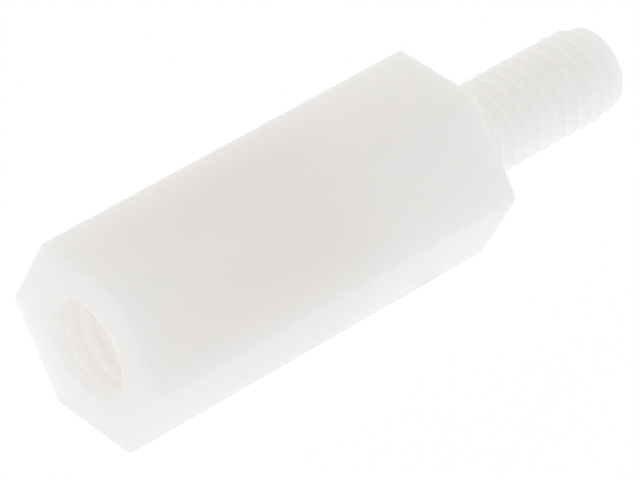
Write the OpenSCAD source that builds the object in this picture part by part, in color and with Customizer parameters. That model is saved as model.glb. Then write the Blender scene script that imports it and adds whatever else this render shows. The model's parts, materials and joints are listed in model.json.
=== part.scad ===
// Hexagonal threaded spacer, moulded in one piece from natural white nylon.
// It lies on one of its flats with its axis along X: the threaded bore opens
// at the -X end and the threaded stud points towards +X.
// The origin is on the axis, in the shoulder face that the stud stands on.

/* [Body] */
// Width of the hexagon across its flats
across_flats = 5.5; // [5:0.1:8]
// Length of the body, from the bored end to the shoulder
body_length = 13; // [11:0.5:40]
// Radius of the six long edges
edge_radius = 0.15; // [0.05:0.01:0.4]
// Width of the bevel round each end face
end_bevel = 0.08; // [0.04:0.01:0.3]

/* [Threaded bore] */
// Diameter of the bore between the crests of its thread
bore_diameter = 2.5; // [2:0.05:3]
// Depth of the bore's flat bottom below the end face
bore_depth = 8; // [4:0.5:9]
// Width of the countersink round the mouth of the bore
countersink_width = 0.35; // [0.1:0.05:0.6]
// Included angle of the countersink
countersink_angle = 90; // [60:5:120]

/* [Stud] */
// Diameter of the stud over the crests of its thread
stud_diameter = 2.9; // [2:0.05:4]
// Length of the stud beyond the shoulder
stud_length = 6; // [3:0.5:12]
// Length of the tapered lead-in at the tip
lead_in_length = 0.8; // [0.3:0.1:1.5]
// Drop in radius along the lead-in
lead_in_drop = 0.25; // [0.1:0.05:0.5]

/* [Hidden] */
$fn = 96;
nylon_white = [0.90, 0.89, 0.87];

// Cutting shapes reach this far past the faces they cut
overrun = 1;
// The round of a long edge reaches this far past its flats, so that they meet in a clean line
round_reach = 0.0005;

sides = 6;
side_turn = 360 / sides;
half_flats = across_flats / 2;
corner_radius = half_flats / cos(side_turn / 2);
// Distance from the axis to the centre of a long edge's round
round_centre = (half_flats - edge_radius + round_reach) / cos(side_turn / 2);

bore_radius = bore_diameter / 2;
mouth_radius = bore_radius + countersink_width;
countersink_depth = countersink_width / tan(countersink_angle / 2);

stud_radius = stud_diameter / 2;
// The stud is rooted halfway from the shoulder to the bottom of the bore
stud_root = (body_length - bore_depth) / 2;

// Turns a shape drawn along Z so that it runs along the axis of the spacer
module along_axis(start = 0) {
    translate([start, 0, 0])
        rotate([0, 90, 0])
            children();
}

// What a long edge's round takes off the sharp corner at the right of the section
module corner_waste() {
    difference() {
        translate([round_centre + edge_radius * cos(side_turn / 2), -overrun])
            square([overrun, 2 * overrun]);
        translate([round_centre, 0])
            circle(r = edge_radius);
    }
}

// Cross-section of the body: a hexagon with rounded corners
module hex_section() {
    difference() {
        circle(r = corner_radius, $fn = sides);
        for (corner = [0:sides - 1])
            rotate(corner * side_turn)
                corner_waste();
    }
}

// Slab along the axis whose ends are bevelled where they meet two opposite flats
module bevelled_slab() {
    inner = half_flats - end_bevel;
    outer = inner + overrun;
    rotate([90, 0, 0])
        linear_extrude(height = 2 * across_flats, center = true)
            polygon([
                [-body_length, -inner],
                [-body_length + overrun, -outer],
                [-overrun, -outer],
                [0, -inner],
                [0, inner],
                [-overrun, outer],
                [-body_length + overrun, outer],
                [-body_length, inner]
            ]);
}

// Body before it is bored: a hexagonal prism, trimmed by one slab for each pair of flats
module hex_body() {
    intersection() {
        along_axis(start = -body_length - overrun)
            linear_extrude(height = body_length + 2 * overrun)
                rotate(side_turn / 2)
                    hex_section();
        intersection_for (pair = [0:sides / 2 - 1])
            rotate([pair * side_turn, 0, 0])
                bevelled_slab();
    }
}

// Stud, revolved from half its outline and rooted inside the body
module stud() {
    along_axis()
        rotate_extrude()
            polygon([
                [0, -stud_root],
                [stud_radius, -stud_root],
                [stud_radius, stud_length - lead_in_length],
                [stud_radius - lead_in_drop, stud_length],
                [0, stud_length]
            ]);
}

// Space of the bore: countersunk mouth, straight wall and flat bottom
module bore_space() {
    along_axis(start = -body_length)
        rotate_extrude()
            polygon([
                [0, -overrun],
                [mouth_radius, -overrun],
                [mouth_radius, 0],
                [bore_radius, countersink_depth],
                [bore_radius, bore_depth],
                [0, bore_depth]
            ]);
}

// The whole spacer, one moulded piece
module spacer() {
    color(nylon_white)
        difference() {
            union() {
                hex_body();
                stud();
            }
            bore_space();
        }
}

spacer();
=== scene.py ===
"""Looks of a white nylon hexagonal spacer: its moulded body, both threads, its material and its light."""

import json
import math

import bpy
import numpy as np
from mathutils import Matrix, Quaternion, Vector

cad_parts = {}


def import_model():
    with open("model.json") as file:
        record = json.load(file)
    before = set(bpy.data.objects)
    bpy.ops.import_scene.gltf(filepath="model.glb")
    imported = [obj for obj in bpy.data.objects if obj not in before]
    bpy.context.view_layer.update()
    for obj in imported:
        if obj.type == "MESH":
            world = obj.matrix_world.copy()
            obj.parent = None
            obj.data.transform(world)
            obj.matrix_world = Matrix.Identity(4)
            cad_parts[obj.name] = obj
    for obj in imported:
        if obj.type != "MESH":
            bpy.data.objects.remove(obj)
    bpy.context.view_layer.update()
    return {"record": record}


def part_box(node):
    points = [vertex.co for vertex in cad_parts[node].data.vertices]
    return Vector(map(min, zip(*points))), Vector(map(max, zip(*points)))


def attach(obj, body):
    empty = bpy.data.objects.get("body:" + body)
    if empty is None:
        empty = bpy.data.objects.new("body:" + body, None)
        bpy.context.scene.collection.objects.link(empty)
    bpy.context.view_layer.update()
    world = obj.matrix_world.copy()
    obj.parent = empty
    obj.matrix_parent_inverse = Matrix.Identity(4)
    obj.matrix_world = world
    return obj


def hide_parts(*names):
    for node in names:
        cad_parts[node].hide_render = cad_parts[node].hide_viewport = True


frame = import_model()

MM = 0.001

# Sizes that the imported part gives: its axis runs along X, and its shoulder face is at x = 0
low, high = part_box("spacer")
mounts = {mount["name"]: mount for mount in frame["record"]["mounts"]}
stud_mount = mounts["stud"]
bore_mount = mounts["threaded_bore"]
BODY_START = low.x
STUD_END = high.x
HALF_FLATS = high.z
FLOOR_Z = low.z
STUD_RADIUS = stud_mount["dims"]["r_mm"] * MM
LEAD_IN_START = stud_mount["dims"]["length_mm"] * MM
BORE_RADIUS = bore_mount["dims"]["r_mm"] * MM
BORE_WALL_START = bore_mount["pos_m"][0]
BORE_BOTTOM = BORE_WALL_START + bore_mount["dims"]["length_mm"] * MM

# The countersink slopes at 45 degrees, so it is as wide as it is deep
MOUTH_RADIUS = BORE_RADIUS + (BORE_WALL_START - BODY_START)

# Hexagon of the body, with the radii of its long edges and of the edges of its end faces
SIDES = 6
SIDE_TURN = 2 * math.pi / SIDES
EDGE_RADIUS = 0.15 * MM
END_ROUND = 0.08 * MM

# Tip of the stud, with the drop in radius along its lead-in and the radius of its rim
LEAD_IN_DROP = 0.25 * MM
TIP_ROUND = 0.06 * MM
TIP_RADIUS = STUD_RADIUS - LEAD_IN_DROP

# Profile of both threads: flanks 60 degrees apart, with the soft crests and roots of a moulding
PITCH = 0.5 * MM
FLANK_SLOPE = math.sqrt(3)
CREST_HALF = PITCH / 14
CREST_ROUND = 0.03 * MM
THREAD_ROUNDING = 0.09 * MM

# Each thread's depth, and the stretch over which it grows, from the shoulder or from the bore's bottom;
# the stud's crests lie a little below its plain wall
STUD_THREAD_DEPTH = 0.24 * MM
STUD_CREST_DROP = 0.015 * MM
STUD_RUN_OUT = (0.15 * MM, 0.65 * MM)
BORE_THREAD_DEPTH = 0.22 * MM
BORE_RUN_OUT = (PITCH, 2 * PITCH)

# Fineness of the mesh, with the rings on the bore's bottom and on the tip as shares of their radii
EDGE_STEPS = 6
FLAT_STEPS = 16
ROUND_STEPS = 5
BODY_STEPS = 26
ROWS_PER_PITCH = 20
BOTTOM_SHARES = (0.35, 0.7, 1.0)
TIP_SHARES = (0.6, 0.3)

# Natural nylon: a faint cloud between two whites, a fine grain in its skin, and light that sinks in
CLOUD_NOISE = {"Scale": 420.0, "Detail": 3.0, "Roughness": 0.55}
CLOUD_WHITES = ((0.3, (0.988, 0.983, 0.978, 1)), (0.7, (0.999, 0.996, 0.993, 1)))
GRAIN_NOISE = {"Scale": 9000.0, "Detail": 4.0, "Roughness": 0.6}
GRAIN_ROUGHNESS = {"To Min": 0.65, "To Max": 0.80}
GRAIN_BUMP = {"Strength": 0.25, "Distance": 0.004 * MM}
NYLON = {
    "IOR": 1.5,
    "Specular IOR Level": 0.4,
    "Subsurface Weight": 1.0,
    "Subsurface Radius": (1.0, 0.95, 0.9),
    "Subsurface Scale": 5.0 * MM,
}

# White table under the spacer: how it looks, and the light that it gives
WHITE = (1, 1, 1, 1)
FLOOR_WIDTH = 3.0
FLOOR_LOOK = {
    "Base Color": (0.08, 0.08, 0.08, 1),
    "Roughness": 1.0,
    "Specular IOR Level": 0.0,
    "Emission Color": WHITE,
    "Emission Strength": 0.94,
}
FLOOR_LIGHT = {"Color": WHITE, "Strength": 0.96}

# Light tent: its colour, its brightest side, its level from the opposite side to that one, and how it looks
TENT_COLOUR = (1, 0.975, 0.95, 1)
BRIGHT_SIDE = Vector((0.10, 0.66, -0.74)).normalized()
TENT_LEVEL = {"From Min": -1, "From Max": 1, "To Min": 0.63, "To Max": 1.12}
TENT_LOOK = {"Color": WHITE, "Strength": 1.0}

# Light passes to and fro in the bore many times and hardly fades, so its paths are long
LIGHT_BOUNCES = 128

# Camera at the photograph's viewing angle
CAMERA_PLACE = Vector((-71.512, -83.317, 80.312)) * MM
CAMERA_AZIMUTH = math.radians(-38.755)
CAMERA_ELEVATION = math.radians(37.178)
CAMERA_ROLL = math.radians(3.401)
CAMERA_CLIP = (0.001, 10)
FOCAL_PIXELS = 4776.8
PICTURE_WIDTH = 640
SENSOR_WIDTH = 36


def round_centre(half_flats):
    """Distance from the axis to the centre of a long edge's round."""
    return (half_flats - EDGE_RADIUS) / math.cos(SIDE_TURN / 2)


def ring_angles():
    """Angles of one ring's points: close together round the long edges, even across the flats."""
    lean = np.linspace(-SIDE_TURN / 2, SIDE_TURN / 2, EDGE_STEPS + 1)
    reach = round_centre(HALF_FLATS) + EDGE_RADIUS * np.cos(lean)
    edge = np.arctan2(EDGE_RADIUS * np.sin(lean), reach)
    flat = np.linspace(edge[-1], SIDE_TURN + edge[0], FLAT_STEPS + 1)[1:-1]
    sector = np.concatenate([edge, flat])
    return np.concatenate([sector + side * SIDE_TURN for side in range(SIDES)])


ANGLES = ring_angles()


def hex_radius(half_flats):
    """Distance from the axis to a hexagon with rounded corners, at each angle of a ring."""
    centre = round_centre(half_flats)
    off_corner = (ANGLES + SIDE_TURN / 2) % SIDE_TURN - SIDE_TURN / 2
    off_flat = SIDE_TURN / 2 - np.abs(off_corner)
    flat = half_flats / np.cos(off_flat)
    inside = np.maximum(EDGE_RADIUS**2 - (centre * np.sin(off_corner)) ** 2, 0)
    corner = centre * np.cos(off_corner) + np.sqrt(inside)
    on_flat = half_flats * np.tan(off_flat) <= (half_flats - EDGE_RADIUS) * math.tan(SIDE_TURN / 2)
    return np.where(on_flat, flat, corner)


def smooth_min(a, b):
    """The lesser of a and b, with the corner between them rounded."""
    share = np.clip(0.5 + 0.5 * (b - a) / THREAD_ROUNDING, 0, 1)
    return b + (a - b) * share - THREAD_ROUNDING * share * (1 - share)


def smooth_max(a, b):
    """The greater of a and b, with the corner between them rounded."""
    return -smooth_min(-a, -b)


def ramp(value, start, end):
    """0 before start, 1 after end, and smooth between them."""
    share = min(max((value - start) / (end - start), 0.0), 1.0)
    return share * share * (3 - 2 * share)


def thread_height(x, depth):
    """Height of a right-hand thread above its root, round the ring at x."""
    turn = (x / PITCH - ANGLES / (2 * math.pi)) % 1.0
    off_crest = np.hypot((turn - 0.5) * PITCH, CREST_ROUND)
    flank = depth - (off_crest - CREST_HALF) * FLANK_SLOPE
    return smooth_max(smooth_min(flank, depth), 0)


def round_ring(x, radius):
    """A ring of points at x; radius is one number, or one for each angle."""
    radii = np.broadcast_to(radius, ANGLES.shape)
    return np.column_stack([np.full(len(ANGLES), x), radii * np.cos(ANGLES), radii * np.sin(ANGLES)])


def hex_ring(x, inset=0.0):
    """A ring on the body's hexagon, taken in from its flats by inset."""
    return round_ring(x, hex_radius(HALF_FLATS - inset))


def bore_rings():
    """Rings from the middle of the bore's bottom, along its thread, to its countersunk mouth."""
    rings = [round_ring(BORE_BOTTOM, BORE_RADIUS * share) for share in BOTTOM_SHARES]
    rows = round((BORE_BOTTOM - BORE_WALL_START) / PITCH * ROWS_PER_PITCH)
    for x in np.linspace(BORE_BOTTOM, BODY_START, rows)[1:-1]:
        groove = BORE_THREAD_DEPTH - thread_height(x, BORE_THREAD_DEPTH)
        wall = BORE_RADIUS + groove * ramp(BORE_BOTTOM - x, *BORE_RUN_OUT)
        cone = MOUTH_RADIUS - (x - BODY_START)
        rings.append(round_ring(x, smooth_max(wall, cone)))
    rings.append(round_ring(BODY_START, MOUTH_RADIUS))
    return rings


def end_round(x, outward):
    """Rings round the edge between an end face at x and the flats; outward is that face's side."""
    rings = []
    for turn in np.linspace(0, math.pi / 2, ROUND_STEPS + 1):
        depth = END_ROUND * (1 - math.cos(turn))
        inset = END_ROUND * (1 - math.sin(turn))
        rings.append(hex_ring(x - outward * depth, inset))
    return rings


def body_rings():
    """Rings from the bored end face, along the flats, to the shoulder face."""
    middle = np.linspace(BODY_START + END_ROUND, -END_ROUND, BODY_STEPS + 1)[1:-1]
    rings = end_round(BODY_START, -1)
    rings += [hex_ring(x) for x in middle]
    rings += end_round(0.0, 1)[::-1]
    return rings


def stud_rings():
    """Rings from the shoulder along the stud's thread to the middle of its tip."""
    rings = []
    rows = round(STUD_END / PITCH * ROWS_PER_PITCH)
    slope = LEAD_IN_DROP / (STUD_END - LEAD_IN_START)
    for x in np.linspace(0, STUD_END - TIP_ROUND, rows):
        groove = STUD_CREST_DROP + STUD_THREAD_DEPTH - thread_height(x, STUD_THREAD_DEPTH)
        wall = STUD_RADIUS - groove * ramp(x, *STUD_RUN_OUT)
        cone = STUD_RADIUS - slope * (x - LEAD_IN_START)
        rings.append(round_ring(x, smooth_min(wall, cone)))
    for turn in np.linspace(0, math.pi / 2, ROUND_STEPS + 1)[1:]:
        x = STUD_END - TIP_ROUND * (1 - math.sin(turn))
        rings.append(round_ring(x, TIP_RADIUS - TIP_ROUND * (1 - math.cos(turn))))
    rings += [round_ring(STUD_END, TIP_RADIUS * share) for share in TIP_SHARES]
    return rings


def spacer_rings():
    """Every ring from the bore's bottom to the stud's tip, and the numbers of those on a sharp edge."""
    bore = bore_rings()
    body = body_rings()
    bottom_corner = len(BOTTOM_SHARES) - 1
    mouth = len(bore) - 1
    stud_root = len(bore) + len(body)
    sharp = {bottom_corner, mouth, mouth + 1, stud_root - 1, stud_root}
    return bore + body + stud_rings(), sharp


def ring_faces(ring_count):
    """Faces that join each ring to the next, and close both ends at a point on the axis."""
    count = len(ANGLES)
    last = (ring_count - 1) * count
    first_pole = ring_count * count
    last_pole = first_pole + 1
    faces = []
    for start in range(0, last, count):
        for step in range(count):
            after = (step + 1) % count
            faces.append((start + step, start + after, start + count + after, start + count + step))
    for step in range(count):
        after = (step + 1) % count
        faces.append((first_pole, after, step))
        faces.append((last_pole, last + step, last + after))
    return faces


def spacer_mesh():
    """One closed mesh of the whole spacer, smooth but for its sharp rings."""
    rings, sharp = spacer_rings()
    poles = [[BORE_BOTTOM, 0, 0], [STUD_END, 0, 0]]
    points = np.vstack(rings + [poles])
    mesh = bpy.data.meshes.new("spacer_moulding")
    mesh.from_pydata(points.tolist(), [], ring_faces(len(rings)))
    mesh.shade_smooth()
    for edge in mesh.edges:
        first, second = (point // len(ANGLES) for point in edge.vertices)
        edge.use_edge_sharp = first == second and first in sharp
    mesh.update()
    return mesh


def spacer_piece():
    """The spacer as it shows, in place of its plain solid."""
    piece = bpy.data.objects.new("spacer_moulding", spacer_mesh())
    bpy.context.scene.collection.objects.link(piece)
    piece.data.materials.append(nylon_material())
    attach(piece, "root")
    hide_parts("spacer")


def set_inputs(node, values):
    """Sets a node's input sockets by name."""
    for name, value in values.items():
        node.inputs[name].default_value = value


def new_node(tree, kind, values=None, **properties):
    """A new node, with its input sockets set from values and its properties set by name."""
    node = tree.nodes.new(kind)
    set_inputs(node, values or {})
    for name, value in properties.items():
        setattr(node, name, value)
    return node


def nylon_material():
    """Natural nylon: milky, slightly warm white that light sinks into, with a fine moulded skin."""
    material = bpy.data.materials.new("natural_nylon")
    material.use_nodes = True
    tree = material.node_tree
    shader = tree.nodes["Principled BSDF"]
    set_inputs(shader, NYLON)
    place = new_node(tree, "ShaderNodeTexCoord")
    cloud = new_node(tree, "ShaderNodeTexNoise", CLOUD_NOISE)
    whites = new_node(tree, "ShaderNodeValToRGB")
    for stop, (position, colour) in zip(whites.color_ramp.elements, CLOUD_WHITES):
        stop.position = position
        stop.color = colour
    grain = new_node(tree, "ShaderNodeTexNoise", GRAIN_NOISE)
    roughness = new_node(tree, "ShaderNodeMapRange", GRAIN_ROUGHNESS)
    bump = new_node(tree, "ShaderNodeBump", GRAIN_BUMP)
    link = tree.links.new
    link(place.outputs["Object"], cloud.inputs["Vector"])
    link(cloud.outputs["Fac"], whites.inputs["Fac"])
    link(whites.outputs["Color"], shader.inputs["Base Color"])
    link(place.outputs["Object"], grain.inputs["Vector"])
    link(grain.outputs["Fac"], roughness.inputs["Value"])
    link(roughness.outputs["Result"], shader.inputs["Roughness"])
    link(grain.outputs["Fac"], bump.inputs["Height"])
    link(bump.outputs["Normal"], shader.inputs["Normal"])
    return material


def seen_ray(tree):
    """1 on rays that show a surface itself, seen straight, mirrored or through; 0 on rays that light."""
    path = new_node(tree, "ShaderNodeLightPath")
    total = path.outputs["Is Camera Ray"]
    for kind in ("Is Glossy Ray", "Is Transmission Ray"):
        add = new_node(tree, "ShaderNodeMath", operation="ADD", use_clamp=True)
        tree.links.new(total, add.inputs[0])
        tree.links.new(path.outputs[kind], add.inputs[1])
        total = add.outputs["Value"]
    return total


def show_and_light(tree, output, light, look):
    """Joins two shaders to the output: look where it is seen, and light where it lights other things."""
    mix = new_node(tree, "ShaderNodeMixShader")
    tree.links.new(seen_ray(tree), mix.inputs["Fac"])
    tree.links.new(light, mix.inputs[1])
    tree.links.new(look, mix.inputs[2])
    tree.links.new(mix.outputs["Shader"], tree.nodes[output].inputs["Surface"])


def floor():
    """White light table under the spacer; where it is seen it is white and keeps a faint shadow."""
    bpy.ops.mesh.primitive_plane_add(size=FLOOR_WIDTH, location=(0, 0, FLOOR_Z))
    table = bpy.context.object
    table.name = "floor"
    material = bpy.data.materials.new("white_table")
    material.use_nodes = True
    tree = material.node_tree
    look = tree.nodes["Principled BSDF"]
    set_inputs(look, FLOOR_LOOK)
    light = new_node(tree, "ShaderNodeEmission", FLOOR_LIGHT)
    show_and_light(tree, "Material Output", light.outputs["Emission"], look.outputs["BSDF"])
    table.data.materials.append(material)


def world():
    """Light tent round the spacer, brighter on one side than on the other; white where it is seen."""
    tent = bpy.data.worlds.new("light_tent")
    tent.use_nodes = True
    tree = tent.node_tree
    place = new_node(tree, "ShaderNodeTexCoord")
    side = new_node(tree, "ShaderNodeVectorMath", operation="DOT_PRODUCT")
    side.inputs[1].default_value = BRIGHT_SIDE
    level = new_node(tree, "ShaderNodeMapRange", TENT_LEVEL)
    light = tree.nodes["Background"]
    light.inputs["Color"].default_value = TENT_COLOUR
    look = new_node(tree, "ShaderNodeBackground", TENT_LOOK)
    tree.links.new(place.outputs["Generated"], side.inputs[0])
    tree.links.new(side.outputs["Value"], level.inputs["Value"])
    tree.links.new(level.outputs["Result"], light.inputs["Strength"])
    show_and_light(tree, "World Output", light.outputs["Background"], look.outputs["Background"])
    bpy.context.scene.world = tent


def camera():
    """Camera at the photograph's viewing angle."""
    data = bpy.data.cameras.new("camera")
    data.sensor_width = SENSOR_WIDTH
    data.lens = FOCAL_PIXELS * SENSOR_WIDTH / PICTURE_WIDTH
    data.clip_start, data.clip_end = CAMERA_CLIP
    eye = bpy.data.objects.new("camera", data)
    bpy.context.scene.collection.objects.link(eye)
    level = math.cos(CAMERA_ELEVATION)
    across = math.sin(CAMERA_AZIMUTH) * level
    along = -math.cos(CAMERA_AZIMUTH) * level
    back = Vector((across, along, math.sin(CAMERA_ELEVATION)))
    eye.location = CAMERA_PLACE
    eye.rotation_mode = "QUATERNION"
    eye.rotation_quaternion = back.to_track_quat("Z", "Y") @ Quaternion((0, 0, 1), -CAMERA_ROLL)
    bpy.context.scene.camera = eye


spacer_piece()
floor()
world()
camera()

scene = bpy.context.scene
scene.view_settings.view_transform = "Standard"
scene.cycles.max_bounces = LIGHT_BOUNCES
scene.cycles.diffuse_bounces = LIGHT_BOUNCES
